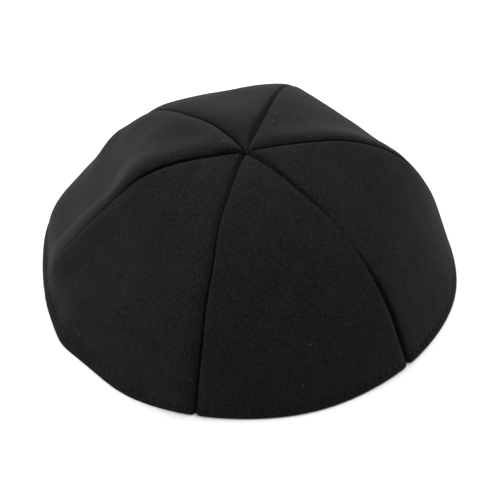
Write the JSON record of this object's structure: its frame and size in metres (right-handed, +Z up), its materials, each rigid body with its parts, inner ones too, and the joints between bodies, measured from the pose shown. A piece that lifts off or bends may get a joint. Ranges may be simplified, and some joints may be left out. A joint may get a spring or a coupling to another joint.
{
  "type": "kippah",
  "caption": "Shallow rounded cloth skullcap of padded gores that meet at a plain crown, with a turned and stitched rim, standing on its rim.",
  "frame": {"origin": "on the surface the cap stands on, under the middle of its footprint", "axes": "+Z up through the crown, -Y towards the front, where the camera of the picture stands, +X to its right"},
  "size_m": [0.1855, 0.1868, 0.0707],
  "materials": {
    "black_cloth": "matt black brushed cloth with a fine weave and a faint sheen"
  },
  "bodies": {
    "root": {"panel_front": "black_cloth", "panel_right": "black_cloth", "panel_back_right": "black_cloth", "panel_back_left": "black_cloth", "panel_left": "black_cloth", "panel_front_left": "black_cloth"}
  },
  "joints": []
}
